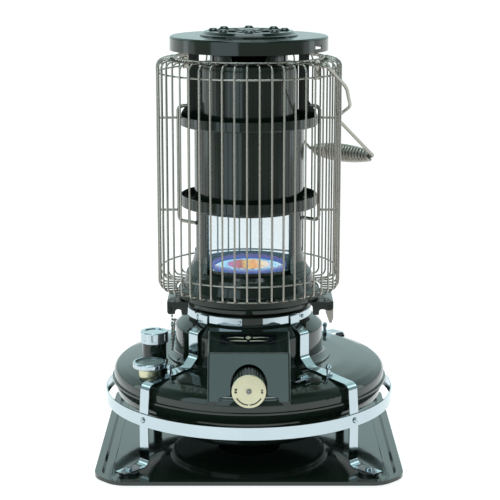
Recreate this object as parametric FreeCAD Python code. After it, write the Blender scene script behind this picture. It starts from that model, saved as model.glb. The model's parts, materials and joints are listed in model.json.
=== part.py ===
"""Round wick-type kerosene heater: tray, tank, burner, tilting chimney with its wire cage.

Millimetres, +Z up, front towards -Y, origin at the middle of the tray's underside.
Azimuths are in degrees, 0 at the front, positive towards +X.
"""
import FreeCAD
import Part
import math
import os

# ---------------------------------------------------------------- driving dimensions
TRAY_X, TRAY_Y, TRAY_CUT, TRAY_SOFT, TRAY_RIM = 388.0, 405.0, 28.0, 34.0, 8.0
SHEET = 1.2                      # tank, neck and base sheet
THIN = 1.0                       # chimney sheet

TANK_R, TANK_TOP, TANK_SEAM, TANK_FLOOR = 181.0, 117.6, 88.0, 18.0
RING_R, RING_LOW, RING_HIGH = 192.0, 58.0, 74.0
STRAP_AZ, STRAP_W, STRAP_T = 44.5, 16.0, 1.6
FOOT_R, FOOT_Z, SCREW_R = 232.0, 5.0, 216.0
NECK_R, NECK_SHOULDER, NECK_TOP_R, NECK_TOP = 98.2, 159.0, 82.0, 186.0

WICK_OUT, WICK_IN, WICK_TOP = 48.8, 44.2, 231.0
GEAR_MODULE, GEAR_TEETH = 1.146, 12
DECK_EDGE_Y, DECK_EDGE_Z = 137.6, 154.6
KNOB_Z, KNOB_R, KNOB_BACK, KNOB_FRONT = 119.5, 21.3, -150.0, -188.0
BOX_HALF, ARCH_R = 52.0, 23.0

CAP_X, CAP_Y, CAP_R, CAP_TOP = -124.4, -42.0, 18.3, 158.0
FLOAT_Z = 84.0
GAUGE_X, GAUGE_Y, GAUGE_R, GAUGE_TOP = -127.8, -87.0, 22.0, 129.4

HINGE_Y, HINGE_Z, PIN_R, RUNNING = 100.0, 185.0, 2.5, 0.05
BASE_R, BASE_LOW, BASE_RIM = 93.6, 190.0, 208.5
BARREL_R, WINDOW_LOW, WINDOW_HIGH, WINDOW_HALF, SIDE_WINDOW = 71.8, 236.5, 319.0, 54.0, 19.5
FLANGE_R, LOWER_FLANGE, UPPER_FLANGE = 89.4, 319.0, 425.0
LOWER_RIM, UPPER_RIM = 15.0, 13.0
UPPER_R, UPPER_TOP, SKIRT_R = 63.8, 506.0, 50.5
PLATE_R, PLATE_LOW, PLATE_TOP = 102.6, 522.4, 540.6
ROSETTE_R, TOTAL_H = 63.5, 550.0

CAGE_R, CAGE_LOW, CAGE_TOP = 119.5, 211.0, 511.0
CAGE_COUNT, CAGE_WIRE, CAGE_PHASE = 48, 2.4, -1.1
FRAME_X, FRAME_WIRE, FRAME_LOW, FRAME_HIGH = 92.2, 4.8, 298.0, 449.5

BAIL_AZ, BAIL_Z, BAIL_HANG, BAIL_WIRE = 47.65, 510.0, 36.5, 4.6
BAIL_REACH, BAIL_HALF, GRIP_HALF, GRIP_R = 241.0, 128.8, 51.0, 13.0

BRACKET_FRONT, BRACKET_BACK, BRACKET_Z = -40.0, 30.0, 194.7
EAR_X, EAR_Y, EAR_Z = 101.2, -36.3, 181.0
LATCH_X, LATCH_Z = 106.5, 189.0
CHAIN_BEAD, CHAIN_PITCH, CHAIN_DROP, CHAIN_PIN = 3.0, 4.5, 54.0, 0.9

Z_AXIS = FreeCAD.Vector(0, 0, 1)
PARTS = "parts"


# ---------------------------------------------------------------- helpers
def vec(x, y, z):
    return FreeCAD.Vector(x, y, z)


def path_edges(corners):
    """Straight runs joined by tangent arcs; each corner is (point, fillet radius)."""
    edges = []
    last = corners[0][0]
    for before, (point, radius), after in zip(corners, corners[1:], corners[2:]):
        to_before = (before[0] - point).normalize()
        to_after = (after[0] - point).normalize()
        half = to_before.getAngle(to_after) / 2
        if radius > 0.02 and half < math.radians(89.9):
            reach = radius / math.tan(half)
            start = point + to_before * reach
            end = point + to_after * reach
            middle = (to_before + to_after).normalize()
            top = point + middle * (radius / math.sin(half) - radius)
            if (start - last).Length > 1e-4:
                edges.append(Part.makeLine(last, start))
            edges.append(Part.Arc(start, top, end).toShape())
            last = end
        else:
            edges.append(Part.makeLine(last, point))
            last = point
    if (corners[-1][0] - last).Length > 1e-4:
        edges.append(Part.makeLine(last, corners[-1][0]))
    return edges


def flat(corners):
    """Corners given as (r, z) or (r, z, fillet), placed in the XZ plane."""
    return [(vec(c[0], 0, c[1]), c[2] if len(c) > 2 else 0.0) for c in corners]


def shifted(corners, gap):
    """The same open line moved to its left by gap, its fillets kept parallel."""
    moved = []
    count = len(corners)
    for i, corner in enumerate(corners):
        r, z = corner[0], corner[1]
        fillet = corner[2] if len(corner) > 2 else 0.0
        dirs = []
        for a, b in ((i - 1, i), (i, i + 1)):
            if a >= 0 and b < count:
                dr = corners[b][0] - corners[a][0]
                dz = corners[b][1] - corners[a][1]
                size = math.hypot(dr, dz)
                dirs.append((dr / size, dz / size))
        first, last = dirs[0], dirs[-1]
        normal = (-(first[1] + last[1]), first[0] + last[0])
        scale = gap / (1 + first[0] * last[0] + first[1] * last[1])
        turn = first[0] * last[1] - first[1] * last[0]
        if fillet > 0:
            fillet = max(0.0, fillet - gap if turn > 0 else fillet + gap)
        moved.append((r + normal[0] * scale, z + normal[1] * scale, fillet))
    return moved


def section(corners, thickness):
    """Face of a bent sheet: the line and its parallel, closed at both ends."""
    inner = shifted(corners, thickness)
    edges = path_edges(flat(corners))
    edges.append(Part.makeLine(flat(corners)[-1][0], flat(inner)[-1][0]))
    edges += path_edges(flat(inner[::-1]))
    edges.append(Part.makeLine(flat(inner)[0][0], flat(corners)[0][0]))
    return Part.Face(Part.Wire(edges))


def closed_face(corners):
    """Face inside a closed outline of (r, z[, fillet]); the first corner is sharp."""
    return Part.Face(Part.Wire(path_edges(flat(list(corners) + [corners[0][:2]]))))


def turned(face):
    return face.revolve(vec(0, 0, 0), Z_AXIS, 360)


def shell_of(corners, thickness):
    return turned(section(corners, thickness))


def tube(outer, inner, low, high, x=0.0, y=0.0):
    body = Part.makeCylinder(outer, high - low, vec(x, y, low))
    return body.cut(Part.makeCylinder(inner, high - low + 2, vec(x, y, low - 1)))


def rod(a, b, radius):
    return Part.makeCylinder(radius, (b - a).Length, a, b - a)


def block(x0, x1, y0, y1, z0, z1):
    return Part.makeBox(x1 - x0, y1 - y0, z1 - z0, vec(x0, y0, z0))


def at_azimuth(shape, azimuth):
    """Turn a shape built along +X (azimuth 90) to another azimuth."""
    moved = shape.copy()
    moved.rotate(vec(0, 0, 0), Z_AXIS, azimuth - 90)
    return moved


def polar(radius, azimuth, z=0.0):
    angle = math.radians(azimuth)
    return vec(radius * math.sin(angle), -radius * math.cos(angle), z)


def swept(corners, radius):
    """Round wire along a path of (point, bend radius) corners."""
    path = Part.Wire(path_edges(corners))
    start = corners[0][0]
    ring = Part.Wire(Part.makeCircle(radius, start, corners[1][0] - start))
    return path.makePipeShell([ring], True, True)


def fused(shapes):
    body = shapes[0]
    if len(shapes) > 1:
        body = body.multiFuse(shapes[1:])
    body = body.removeSplitter()
    return body.Solids[0] if len(body.Solids) == 1 else body


def dome_screw(point, direction, radius, height):
    """Pan-head screw: a short head with a slot, standing on point along direction."""
    rim = height * 0.45
    profile = closed_face([(0, 0), (radius, 0), (radius, height, rim), (0, height)])
    head = turned(profile)
    slot = block(-radius, radius, -0.4, 0.4, height * 0.55, height + 1)
    head = head.cut(slot)
    head.Placement = FreeCAD.Placement(point, FreeCAD.Rotation(Z_AXIS, direction))
    return head


def save(name, shape):
    solids = shape.Solids
    if not solids:
        raise RuntimeError(name + " holds no solid")
    body = solids[0] if len(solids) == 1 else Part.makeCompound(solids)
    if not body.isValid():
        print("not valid:", name)
    body.exportStep(os.path.join(PARTS, name + ".step"))
    print(f"{name:20s} solids {len(solids):3d} volume {body.Volume / 1000:9.2f} cm3")


# ---------------------------------------------------------------- tray and tank
def tray_outline(inset, low, high):
    hx, hy = TRAY_X / 2 - inset, TRAY_Y / 2 - inset
    cut = TRAY_CUT - 0.586 * inset
    soft = TRAY_SOFT - inset
    ring = [(hx, -hy + cut), (hx, hy - cut), (hx - cut, hy), (-hx + cut, hy),
            (-hx, hy - cut), (-hx, -hy + cut), (-hx + cut, -hy), (hx - cut, -hy)]
    middle = ((ring[0][0] + ring[-1][0]) / 2, (ring[0][1] + ring[-1][1]) / 2)
    corners = [middle] + ring + [middle]
    points = [(vec(x, y, low), soft if 0 < i < 9 else 0.0) for i, (x, y) in enumerate(corners)]
    return Part.Face(Part.Wire(path_edges(points))).extrude(vec(0, 0, high - low))


def drip_tray():
    lip, wall = 8.0, 1.0
    rim = tray_outline(0, 3, TRAY_RIM).cut(tray_outline(wall, 2, TRAY_RIM - wall))
    rim = rim.cut(tray_outline(lip + wall, 0, TRAY_RIM + 1))
    pan = tray_outline(lip, 0, TRAY_RIM).cut(tray_outline(lip + wall, wall, TRAY_RIM + 1))
    bead = tray_outline(17, wall, 2.6).cut(tray_outline(21, 0, 4))
    pads = [Part.makeCylinder(13, FOOT_Z - wall, foot_point(az, wall)) for az in strap_azimuths()]
    return fused([rim, pan, bead] + pads)


def strap_azimuths():
    return [STRAP_AZ, -STRAP_AZ, 180 - STRAP_AZ, STRAP_AZ - 180]


def foot_point(azimuth, z):
    return polar(SCREW_R, azimuth, z)


def tank_top_line():
    return [(TANK_R + 2.3, TANK_SEAM + SHEET), (TANK_R, TANK_SEAM + SHEET),
            (TANK_R, 106.5, 13), (158.0, 113.4, 60), (128.0, TANK_TOP, 80), (66.0, TANK_TOP)]


def knob_channel(grow):
    """Round-bottomed channel pressed into the tank top for the knob and its shaft."""
    wide, narrow = ARCH_R + grow, 9.0 + grow
    front, step, back = -TANK_R - 20, -118.0 + grow, -60.0
    cut = rod(vec(0, front, KNOB_Z), vec(0, step, KNOB_Z), wide)
    cut = cut.fuse(block(-wide, wide, front, step, KNOB_Z, TANK_TOP + 20))
    cut = cut.fuse(rod(vec(0, step, KNOB_Z), vec(0, back, KNOB_Z), narrow))
    return cut.fuse(block(-narrow, narrow, step, back, KNOB_Z, TANK_TOP + 20))


def tank_top_solid(inset):
    """Everything under the tank's top skin, inset from its outer surface."""
    line = shifted(tank_top_line()[1:], inset) if inset else tank_top_line()[1:]
    low = TANK_SEAM - 5
    outline = [(0, low), (line[0][0], low)] + line[1:-1] + [(0, line[-1][1])]
    return turned(closed_face(outline))


def tank_top_shell():
    skin = shell_of(tank_top_line(), SHEET)
    skin = skin.cut(knob_channel(0))
    trough = knob_channel(SHEET).cut(knob_channel(0))
    trough = trough.common(tank_top_solid(0)).cut(Part.makeCylinder(66, 200))
    body = skin.fuse(trough)
    holes = [Part.makeCylinder(16.0, 60, vec(CAP_X, CAP_Y, 100)),
             Part.makeCylinder(9.2, 60, vec(GAUGE_X, GAUGE_Y, 90))]
    return fused([body.cut(Part.makeCompound(holes))])


def tank_bottom_shell():
    line = [(43.0, TANK_FLOOR), (104.0, TANK_FLOOR, 5), (104.0, 30.0, 6), (120.0, 35.0, 12),
            (176.0, 69.0, 8), (TANK_R, TANK_SEAM - SHEET), (TANK_R + 2.3, TANK_SEAM - SHEET)]
    return shell_of(line, SHEET)


def guard_ring():
    return tube(RING_R, RING_R - 1.5, RING_LOW, RING_HIGH)


# ---------------------------------------------------------------- straps, neck, panel
def strap_line():
    """Inner face of one strap: neck band, shoulder, tank top, rim, ring, leg and foot."""
    return [(84.0, 183.5), (84.0, 172.6, 3), (101.4, 162.5, 4), (101.4, 131.4, 9),
            (115.0, 118.2, 14), (130.0, 117.9, 30), (158.0, 113.8, 20), (185.6, 111.0, 8),
            (188.6, 74.0, 30), (188.6, FOOT_Z, 10), (FOOT_R, FOOT_Z)]


def straight_strap():
    face = section(strap_line(), STRAP_T)
    face.translate(vec(0, -STRAP_W / 2, 0))
    return face.extrude(vec(0, STRAP_W, 0))


def leg_strap(azimuth):
    holes = [Part.makeCylinder(1.9, 12, vec(SCREW_R, 0, 0)),
             rod(vec(185, 0, 66), vec(196, 0, 66), 1.9)]
    return at_azimuth(straight_strap().cut(Part.makeCompound(holes)), azimuth)


def case_screws():
    """Pan heads on the guard ring, on the feet and on the neck band."""
    heads = []
    for azimuth in strap_azimuths():
        out = polar(1, azimuth)
        heads.append(dome_screw(polar(RING_R, azimuth, 66), out, 3.6, 2.2))
        heads.append(dome_screw(foot_point(azimuth, FOOT_Z + STRAP_T), Z_AXIS, 4.2, 2.6))
    for azimuth in (-53.0, -8.5, 57.0):
        heads.append(dome_screw(polar(83.3, azimuth, 179), polar(1, azimuth), 2.4, 1.8))
    return Part.makeCompound(heads)


def strap_clamps():
    """Upright clamp with a domed nut where each strap crosses the tank top."""
    clamps = []
    taken = straight_strap().fuse(tank_top_solid(0))
    for azimuth in strap_azimuths():
        side = -1 if math.sin(math.radians(azimuth)) > 0 else 1
        edges = sorted((side * 0.5, side * 11.5))
        foot = block(144.5, 153.0, edges[0], edges[1], 112.0, 118.8)
        stem = Part.makeCylinder(2.6, 9.5, vec(149.0, side * 4.0, 118.0))
        nut = Part.makeSphere(3.8, vec(149.0, side * 4.0, 127.6))
        clamps.append(at_azimuth(fused([foot, stem, nut]).cut(taken), azimuth))
    return Part.makeCompound(clamps)


def neck_line():
    return [(109.0, TANK_TOP + 1.4), (NECK_R, TANK_TOP + 1.4, 8), (NECK_R, NECK_SHOULDER, 4),
            (87.0, 170.0, 4), (NECK_TOP_R, 173.6, 2), (NECK_TOP_R, NECK_TOP, 2),
            (62.0, NECK_TOP)]


def neck_shell():
    notch = rod(vec(0, -120, KNOB_Z), vec(0, -80, KNOB_Z), 8.0)
    return shell_of(neck_line(), SHEET).cut(notch.fuse(block(-8, 8, -120, -80, 110, KNOB_Z)))


def neck_band():
    band = tube(NECK_TOP_R + 1.3, NECK_TOP_R + 0.1, 174.6, 184.2)
    gap = block(-9, 18, -90, -60, 170, 190)
    return band.cut(gap)


def panel_side_line(inset):
    """Side view of the panel: sloping name-plate deck, then the steeper knob face."""
    return [(80, 100), (80, 172.0 - inset), (97.0, 171.5 - inset),
            (DECK_EDGE_Y - inset * 0.9, DECK_EDGE_Z - inset, 6.0), (176.0 - inset * 1.2, 103.0), (176.0 - inset * 1.2, 98.0), (80, 98)]


def panel_block(inset, half):
    body = closed_face(panel_side_line(inset)).extrude(vec(0, 2 * half, 0))
    body.translate(vec(0, -half, 0))
    body.rotate(vec(0, 0, 0), Z_AXIS, -90)
    return body


def knob_arch(radius, front, back):
    round_top = rod(vec(0, front, KNOB_Z), vec(0, back, KNOB_Z), radius)
    return round_top.fuse(block(-radius, radius, front, back, 60, KNOB_Z))


def control_box():
    wall = 1.5
    outer = panel_block(0, BOX_HALF)
    outer = outer.makeFillet(3.2, [e for e in outer.Edges if panel_corner(e)])
    body = outer.cut(panel_block(wall, BOX_HALF - wall))
    back = -112.0
    tunnel = knob_arch(ARCH_R + wall, -185, back - wall).common(outer)
    end = block(-ARCH_R - wall, ARCH_R + wall, back - wall, back, 96, KNOB_Z + ARCH_R)
    body = body.fuse(tunnel).fuse(end.common(outer))
    body = body.cut(knob_arch(ARCH_R, -190, back - wall))
    wings = tube(NECK_R + 1.6, NECK_R + 0.3, 126, 158)
    wings = wings.common(block(-BOX_HALF - 5, BOX_HALF + 5, -100, -70, 120, 160))
    body = body.fuse(wings)
    clear = turned(closed_face([(0, 60)] + neck_clear_line() + [(0, 190)]))
    body = body.cut(clear)
    body = body.cut(tank_top_solid(-0.3)).cut(rod(vec(0, -130, KNOB_Z), vec(0, -90, KNOB_Z), 5))
    body = body.cut(neck_shell())
    return max(body.Solids, key=lambda s: s.Volume)


def neck_clear_line():
    """The neck's outer line grown by the panel's seating gap."""
    return [(106.0, 60), (106.0, TANK_TOP + 2), (NECK_R + 0.25, TANK_TOP + 9),
            (NECK_R + 0.25, NECK_SHOULDER), (87.3, 170.3), (84.0, 173.0), (84.0, 190)]


def panel_corner(edge):
    """Side edges of the panel's deck and front."""
    ends = [v.Point for v in edge.Vertexes]
    if len(ends) < 2:
        return False
    front = all(p.y < -100 and p.z > 99 for p in ends)
    across = abs(ends[0].x - ends[1].x) > 50
    return front and not across and max(p.z for p in ends) > 104


def badge_plate():
    """Plain plate with rounded ends on the sloping deck."""
    slope = math.atan2(171.5 - DECK_EDGE_Z, DECK_EDGE_Y - 97.0)
    half, deep, thick = 35.6, 9.5, 0.8
    plate = block(-half, half, -deep, deep, 0, thick)
    corners = [e for e in plate.Edges if abs(e.Vertexes[0].Z - e.Vertexes[-1].Z) > 0.5]
    plate = plate.makeFillet(2.5, corners)
    plate.rotate(vec(0, 0, 0), vec(1, 0, 0), math.degrees(slope))
    middle = vec(-0.8, -112.2, 171.5 - 15.2 * math.tan(slope))
    offset = vec(0, -math.sin(slope), math.cos(slope)) * 0.06
    plate.translate(middle + offset)
    return plate


def box_bracket():
    """Chrome strip that holds the panel to the tank beside the knob, with its screw."""
    strip = block(-15, 15, -4, 4, 0, 1.5)
    strip = strip.fuse(block(-2, 4, -10, -3, 0, 1.5))
    screw = dome_screw(vec(1, 0, 1.5), Z_AXIS, 3.2, 2.4)
    body = Part.makeCompound([fused([strip]), screw])
    body.rotate(vec(0, 0, 0), Z_AXIS, 46)
    body.translate(vec(66, -132, TANK_TOP + 0.6))
    return body


# ---------------------------------------------------------------- burner, wick and knob
def burner_drum():
    """Closed gear case around the lower wick tubes."""
    body = shell_of([(65.8, 94.0), (65.8, 150.0, 4), (51.6, 150.0)], SHEET)
    bore = rod(vec(0, -72, KNOB_Z), vec(0, -60, KNOB_Z), 8.0)
    return body.cut(bore)


def shaft_bushing():
    body = rod(vec(0, -70, KNOB_Z), vec(0, -60, KNOB_Z), 8.0)
    flange = rod(vec(0, -72, KNOB_Z), vec(0, -70, KNOB_Z), 8.8)
    return fused([body, flange]).cut(rod(vec(0, -80, KNOB_Z), vec(0, -50, KNOB_Z), 4 + RUNNING))


def outer_wick_tube():
    body = tube(51.4, 50.2, 60, 224)
    slot = block(-14.0, -5.5, -56, -44, 84, 118)
    return body.cut(slot)


def inner_wick_tube():
    return tube(42.9, 41.7, TANK_FLOOR, 228)


def burner_ring():
    return shell_of([(57.5, 214.0), (57.5, 229.0, 5), (50.4, 230.0)], SHEET)


def flame_spreader():
    """Perforated button on a stem in the middle of the burner."""
    cap = turned(closed_face([(0, 222), (37, 222), (39, 226, 1), (36, 236, 4), (0, 240)]))
    cap = cap.cut(turned(closed_face([(0, 221), (36, 221), (34, 234, 3), (0, 237)])))
    hole = rod(vec(20, 0, 229), vec(45, 0, 229), 1.6)
    drilled = [at_azimuth(hole, 15 * k) for k in range(24)]
    cap = cap.cut(Part.makeCompound(drilled))
    stem = Part.makeCylinder(4, 38, vec(0, 0, 200))
    bridge = block(-41.6, 41.6, -3, 3, 198, 201)
    return fused([cap, stem, bridge])


def wick():
    return tube(WICK_OUT, WICK_IN, 70, WICK_TOP)


def rack_teeth(low, count, pitch, pitch_x):
    """Straight-flanked teeth that point towards -X."""
    teeth = []
    add, ded, play = 0.75 * GEAR_MODULE, 1.25 * GEAR_MODULE, 0.35
    slope = math.tan(math.radians(20))
    for k in range(count):
        middle = low + k * pitch
        half = pitch / 4 - play / 2
        tip, root = half - add * slope, half + ded * slope
        outline = [(pitch_x - add, middle - tip), (pitch_x - add, middle + tip),
                   (pitch_x + ded + 0.2, middle + root), (pitch_x + ded + 0.2, middle - root)]
        points = [vec(x, -57.5, z) for x, z in outline]
        teeth.append(Part.Face(Part.makePolygon(points + [points[0]])).extrude(vec(0, 5, 0)))
    return teeth


def wick_carrier():
    """Ring that grips the wick, with the rack on the left of the pinion."""
    pitch = math.pi * GEAR_MODULE
    pitch_x = GEAR_MODULE * GEAR_TEETH / 2
    ring = tube(49.8, 48.9, 98, 118)
    arm = block(9.0, 12.5, -57.5, -48.6, 107, 113)
    back = block(pitch_x + 1.25 * GEAR_MODULE, 12.5, -57.5, -52.5, 110, 146.5)
    teeth = rack_teeth(KNOB_Z - 2 * pitch, 9, pitch, pitch_x)
    body = fused([ring, arm, back] + teeth)
    return body.mirror(vec(0, 0, 0), vec(1, 0, 0))


def gear_outline():
    """Involute gear, points in its own plane, one gap centred on the +X direction."""
    teeth, module = GEAR_TEETH, GEAR_MODULE
    pitch_r = teeth * module / 2
    base_r = pitch_r * math.cos(math.radians(20))
    tip_r, root_r = pitch_r + 0.8 * module, pitch_r - 1.15 * module
    play = 0.35

    def involute(radius):
        ratio = max(1.0, radius / base_r)
        angle = math.acos(1 / ratio)
        return math.tan(angle) - angle

    half_at_pitch = (math.pi * module / 4 - play / 4) / pitch_r
    points = []
    for k in range(teeth):
        centre = 2 * math.pi * (k + 0.5) / teeth
        flank = []
        for step in range(5):
            radius = base_r + (tip_r - base_r) * step / 4
            half = half_at_pitch + involute(pitch_r) - involute(radius)
            flank.append((radius, half))
        flank.insert(0, (root_r, flank[0][1]))
        points += [(r, centre - h) for r, h in flank] + [(r, centre + h) for r, h in flank[::-1]]
    return [(r * math.cos(a), r * math.sin(a)) for r, a in points]


def knob_shaft():
    """Shaft of the wick knob with its pinion, axis along Y."""
    shaft = rod(vec(0, KNOB_FRONT + 4, KNOB_Z), vec(0, -59.5, KNOB_Z), 4.0)
    neck = rod(vec(0, -59.5, KNOB_Z), vec(0, -52.5, KNOB_Z), 3.4)
    outline = [vec(x, -57.5, KNOB_Z + z) for x, z in gear_outline()]
    pinion = Part.Face(Part.makePolygon(outline + [outline[0]])).extrude(vec(0, 5, 0))
    return fused([shaft, neck, pinion])


def knob_grip():
    """Fluted knob body, hollow behind its rim."""
    body = rod(vec(0, KNOB_FRONT + 3, KNOB_Z), vec(0, KNOB_BACK, KNOB_Z), KNOB_R - 0.6)
    flute = rod(vec(KNOB_R + 0.1, KNOB_FRONT + 2, 0), vec(KNOB_R + 0.1, KNOB_BACK + 5, 0), 1.3)
    flutes = []
    for k in range(30):
        one = flute.copy()
        one.rotate(vec(0, 0, 0), vec(0, 1, 0), 12 * k)
        one.translate(vec(0, 0, KNOB_Z))
        flutes.append(one)
    body = body.cut(Part.makeCompound(flutes))
    hollow = rod(vec(0, KNOB_BACK - 14, KNOB_Z), vec(0, KNOB_BACK + 1, KNOB_Z), 16.0)
    hub = rod(vec(0, KNOB_BACK - 14, KNOB_Z), vec(0, KNOB_BACK, KNOB_Z), 8.0)
    body = body.cut(hollow).fuse(hub)
    bore = rod(vec(0, KNOB_FRONT, KNOB_Z), vec(0, KNOB_BACK + 1, KNOB_Z), 4.0)
    return fused([body]).cut(bore)


def knob_plate():
    disc = rod(vec(0, KNOB_FRONT + 0.2, KNOB_Z), vec(0, KNOB_FRONT + 3, KNOB_Z), KNOB_R)
    disc = disc.makeFillet(0.8, [disc.Edges[0], disc.Edges[2]])
    return disc.cut(rod(vec(0, KNOB_FRONT - 1, KNOB_Z), vec(0, KNOB_FRONT + 4, KNOB_Z), 2.0))


def knob_screw():
    head = dome_screw(vec(0, KNOB_FRONT + 0.2, KNOB_Z), vec(0, -1, 0), 3.4, 1.8)
    stem = rod(vec(0, KNOB_FRONT + 0.2, KNOB_Z), vec(0, KNOB_FRONT + 4, KNOB_Z), 2.0)
    return fused([head, stem])


# ---------------------------------------------------------------- filler and fuel gauge
def filler_neck():
    body = tube(15.8, 14.2, 106, CAP_TOP - 2.6, CAP_X, CAP_Y)
    collar = tube(17.6, 15.0, 112, 121.0, CAP_X, CAP_Y).cut(tank_top_solid(0))
    return fused([body, collar])


def filler_cap():
    """Fluted screw cap over the filler neck."""
    body = Part.makeCylinder(CAP_R, 14.5, vec(CAP_X, CAP_Y, CAP_TOP - 14.5))
    body = body.makeFillet(1.2, [body.Edges[0]])
    inside = Part.makeCylinder(16.4, 12.0, vec(CAP_X, CAP_Y, CAP_TOP - 14.5 - 0.01))
    dish = Part.makeCylinder(12.5, 2, vec(CAP_X, CAP_Y, CAP_TOP - 1.0))
    flutes = []
    for k in range(8):
        x = CAP_X + (CAP_R + 3.2) * math.cos(math.pi * k / 4)
        y = CAP_Y + (CAP_R + 3.2) * math.sin(math.pi * k / 4)
        flutes.append(Part.makeCylinder(4.2, 9, vec(x, y, CAP_TOP - 11)))
    return body.cut(Part.makeCompound([inside, dish] + flutes))


def gauge_base():
    """Brass seat of the fuel gauge on the sloping tank top, with its stem."""
    seat_low, low = 103.0, GAUGE_TOP - 7.8
    seat = Part.makeCylinder(14.5, low - seat_low, vec(GAUGE_X, GAUGE_Y, seat_low))
    seat = seat.cut(tank_top_solid(-0.02))
    stem = tube(9.0, 7.0, 90, low, GAUGE_X, GAUGE_Y)
    cavity = Part.makeCylinder(7.0, 40, vec(GAUGE_X, GAUGE_Y, 90))
    ears = [block(GAUGE_X + s * 5.5 - 1.2, GAUGE_X + s * 5.5 + 1.2, GAUGE_Y - 4, GAUGE_Y + 4,
                  FLOAT_Z - 4, 92) for s in (-1, 1)]
    body = fused([seat.cut(cavity), stem] + ears)
    return body.cut(float_pin(2.0 + 0.02))


def float_axis():
    return vec(1, 0, 0)


def float_pin(radius):
    a = vec(GAUGE_X - 8, GAUGE_Y, FLOAT_Z)
    return rod(a, a + float_axis() * 16, radius)


def float_arm():
    """Pivot pin, arm and cylindrical float inside the tank."""
    pin = float_pin(2.0 - 0.04)
    pivot = vec(GAUGE_X, GAUGE_Y, FLOAT_Z)
    tip = vec(GAUGE_X + 2, GAUGE_Y + 58.5, FLOAT_Z - 21)
    boss = rod(pivot - float_axis() * 3, pivot + float_axis() * 3, 3.6)
    arm = rod(pivot, tip, 1.2)
    ball = rod(tip + vec(-11, 0, 0), tip + vec(11, 0, 0), 10.5)
    return fused([pin, boss, arm, ball])


def gauge_bezel():
    low = GAUGE_TOP - 7.7
    line = [(7.2, low), (GAUGE_R, low, 1.5), (GAUGE_R, GAUGE_TOP, 2.0), (GAUGE_R - 3.1, GAUGE_TOP)]
    body = shell_of(line, SHEET)
    body.translate(vec(GAUGE_X, GAUGE_Y, 0))
    return body


def gauge_dial():
    return tube(GAUGE_R - 1.6, 1.8, GAUGE_TOP - 6.4, GAUGE_TOP - 5.4, GAUGE_X, GAUGE_Y)


def gauge_lens():
    edge = GAUGE_R - 1.4
    body = turned(closed_face([(0, GAUGE_TOP - 3.0), (edge, GAUGE_TOP - 3.0),
                               (edge, GAUGE_TOP - 2.0), (0, GAUGE_TOP - 1.2)]))
    body.translate(vec(GAUGE_X, GAUGE_Y, 0))
    return body


def gauge_pointer():
    hub = Part.makeCylinder(1.3, 3.4, vec(GAUGE_X, GAUGE_Y, GAUGE_TOP - 7.6))
    needle = block(GAUGE_X - 0.6, GAUGE_X + 0.6, GAUGE_Y - 15, GAUGE_Y + 4,
                   GAUGE_TOP - 4.8, GAUGE_TOP - 4.2)
    return fused([hub, needle])


# ---------------------------------------------------------------- hinge, latch and chain
def hinge_bracket():
    """Fixed leaf behind the neck with its two knuckles."""
    plate = block(-22, 22, NECK_R + 0.1, NECK_R + 1.7, 140, 178.5)
    cheeks = [block(min(s * 10, s * 22), max(s * 10, s * 22), NECK_R + 0.1, NECK_R + 1.7,
                    178, 183) for s in (-1, 1)]
    knuckles = [rod(vec(s * 10, HINGE_Y, HINGE_Z), vec(s * 22, HINGE_Y, HINGE_Z), 5.0)
                for s in (-1, 1)]
    body = fused([plate] + cheeks + knuckles)
    return body.cut(rod(vec(-30, HINGE_Y, HINGE_Z), vec(30, HINGE_Y, HINGE_Z), PIN_R))


def hinge_pin():
    pin = rod(vec(-23, HINGE_Y, HINGE_Z), vec(24.5, HINGE_Y, HINGE_Z), PIN_R)
    head = rod(vec(-24.5, HINGE_Y, HINGE_Z), vec(-22.3, HINGE_Y, HINGE_Z), 4.2)
    return fused([pin, head])


def hinge_leaf():
    """Moving leaf on the back of the chimney base."""
    plate = block(-9.6, 9.6, BASE_R - 0.4, BASE_R + 1.6, 187, 207)
    bridge = block(-9.6, 9.6, BASE_R - 0.4, HINGE_Y, 183, 189)
    knuckle = rod(vec(-9.6, HINGE_Y, HINGE_Z), vec(9.6, HINGE_Y, HINGE_Z), 5.0)
    body = fused([plate, bridge, knuckle])
    bore = rod(vec(-12, HINGE_Y, HINGE_Z), vec(12, HINGE_Y, HINGE_Z), PIN_R + RUNNING)
    return body.cut(bore).cut(chimney_base())


def folded_bracket(reach, low):
    """Plate under the base rim on the +X side, its front edge folded down into two lugs."""
    thick = 1.5
    top = BRACKET_Z + thick
    plate = block(60, reach, BRACKET_FRONT, BRACKET_BACK, BRACKET_Z, top)
    corner = [e for e in plate.Edges if all(v.X > 61 and v.Y > 0 for v in e.Vertexes)]
    plate = plate.makeFillet(8.0, [e for e in corner if e.Vertexes[0].Z != e.Vertexes[-1].Z])
    outline = [(78.0, top), (reach, top), (reach, low, 4), (reach - 10.4, low, 3),
               (reach - 11.0, 186.2, 3), (reach - 18.4, 186.2, 3), (reach - 19.0, 178.6, 1.5),
               (reach - 27.0, 178.6, 3), (reach - 27.5, 190.0)]
    flange = closed_face(outline).extrude(vec(0, thick, 0))
    flange.translate(vec(0, BRACKET_FRONT, 0))
    body = fused([plate, flange]).cut(Part.makeCylinder(88.8, 60, vec(0, 0, 160)))
    return max(body.Solids, key=lambda s: s.Volume)


def left_bracket():
    """Bracket with a rivet and the cross pin that carries the chain."""
    body = folded_bracket(107.3, 179.5)
    rivet = dome_screw(vec(103.5, BRACKET_FRONT, 186.0), vec(0, -1, 0), 2.6, 2.0)
    cheeks = [block(x, x + 1.0, BRACKET_FRONT + 1.4, EAR_Y + 1.4, EAR_Z - 1.5, EAR_Z + 1.5)
              for x in (EAR_X - 3.4, EAR_X + 2.4)]
    pin = rod(vec(EAR_X - 3.4, EAR_Y, EAR_Z), vec(EAR_X + 3.4, EAR_Y, EAR_Z), CHAIN_PIN)
    return fused([body, rivet, pin] + cheeks).mirror(vec(0, 0, 0), vec(1, 0, 0))


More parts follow.
